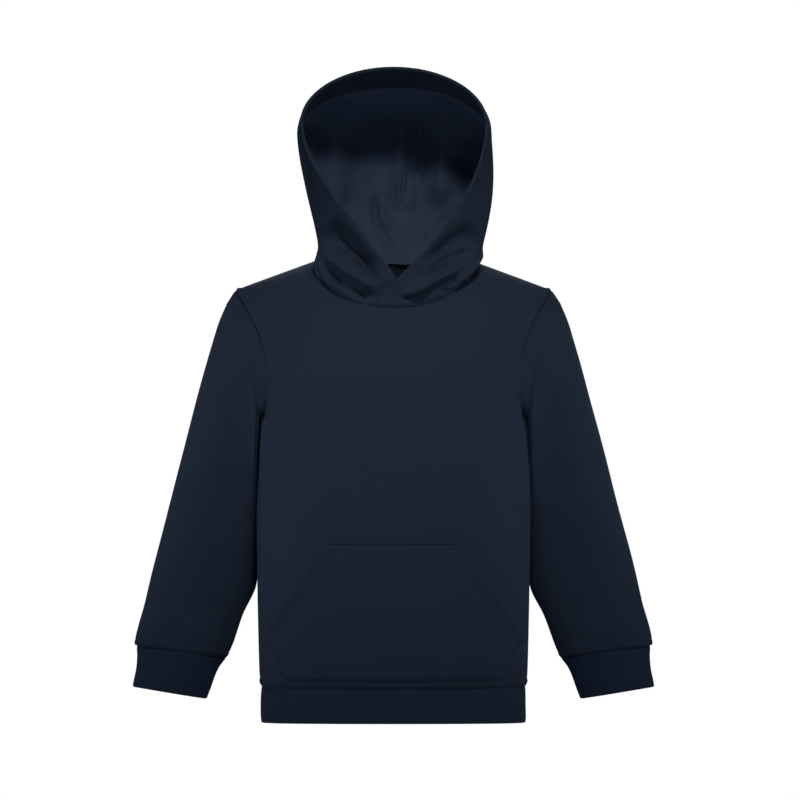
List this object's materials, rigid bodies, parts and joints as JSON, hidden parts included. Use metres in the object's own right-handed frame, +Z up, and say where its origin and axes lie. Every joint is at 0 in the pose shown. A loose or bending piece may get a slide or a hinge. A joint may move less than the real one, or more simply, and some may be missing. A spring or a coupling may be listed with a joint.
{
  "type": "toddler hoodie",
  "caption": "Child's plain pull-over hoodie in its worn form: open hood crossing over at the throat, set-in sleeves, ribbed cuffs and waist band, front pouch pocket.",
  "frame": {"origin": "midway between the two points where the shoulder seams meet the neck seam, where the wearer's shoulders hold the garment", "axes": "+Z up, -Y out of the front, +X towards the wearer's left"},
  "size_m": [0.48, 0.173, 0.6018],
  "materials": {
    "fleece": "plain knit face of brushed sweatshirt fleece, matt with a faint nap",
    "rib": "matt doubled rib knit"
  },
  "bodies": {
    "root": {"front": "fleece", "back": "fleece", "pocket": "fleece", "sleeve_left": "fleece", "sleeve_right": "fleece", "hood_left": "fleece", "hood_right": "fleece", "hem_band": "rib", "cuff_left": "rib", "cuff_right": "rib"}
  },
  "joints": []
}
